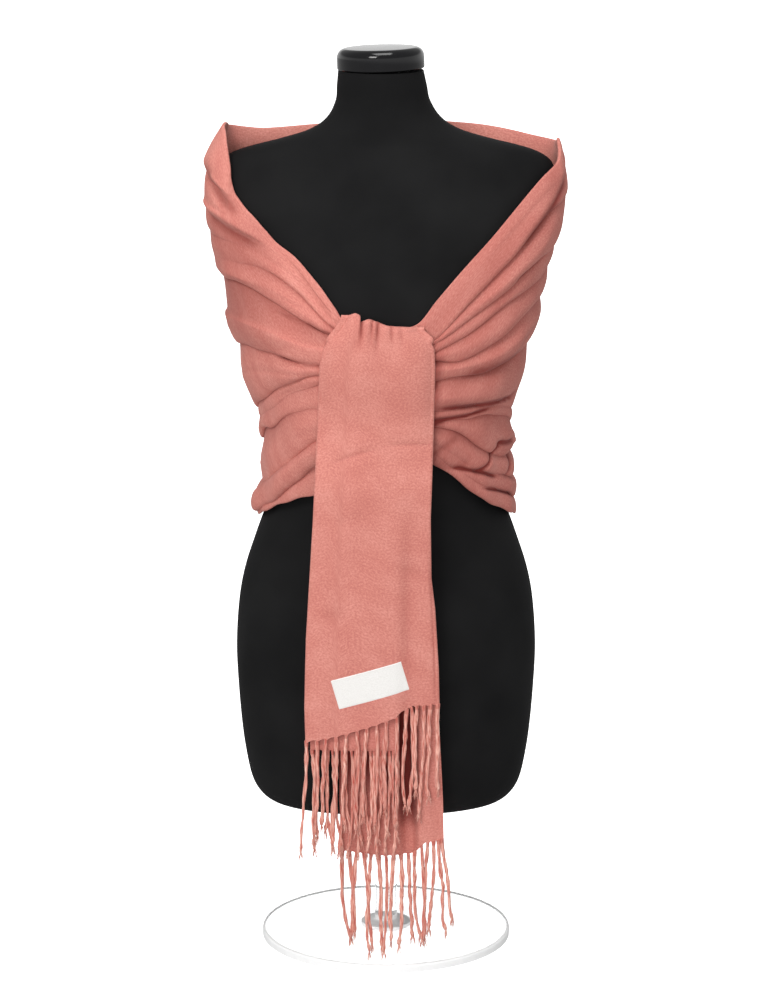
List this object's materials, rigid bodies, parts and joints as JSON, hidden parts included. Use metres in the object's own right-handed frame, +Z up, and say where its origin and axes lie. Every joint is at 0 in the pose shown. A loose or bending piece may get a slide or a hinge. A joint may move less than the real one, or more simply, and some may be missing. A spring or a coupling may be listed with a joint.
{
  "type": "pashmina shawl on a dress form",
  "caption": "Fringed pashmina shawl wrapped round the shoulders of a limbless dress form and tied in front, its tails hanging over the hips, on a low round stand.",
  "frame": {"origin": "on the floor, at the middle of the stand's base plate", "axes": "+Z up, the front of the form and the tied tails face -Y, the wearer's left is at +X"},
  "size_m": [0.3886, 0.2873, 0.9871],
  "materials": {
    "form_black": "matte black jersey cover, stretched smooth over the form",
    "cap_black": "gloss black lacquered disc",
    "stand_clear": "clear cast acrylic with polished edges",
    "shawl_rose": "fine twill weave in salmon rose with a soft sheen and a light mottle",
    "label_white": "bare white woven label with turned edges"
  },
  "bodies": {
    "root": {"dress_form": "form_black", "neck_cap": "cap_black", "stand_base": "stand_clear", "stand_post": "stand_clear", "wrap_right": "shawl_rose", "wrap_back": "shawl_rose", "wrap_left": "shawl_rose", "front_tail": "shawl_rose", "tail_inner_layer": "shawl_rose", "back_tail": "shawl_rose", "label": "label_white", "front_tail_fringe": "shawl_rose", "tail_inner_fringe": "shawl_rose", "back_tail_fringe": "shawl_rose"}
  },
  "joints": []
}
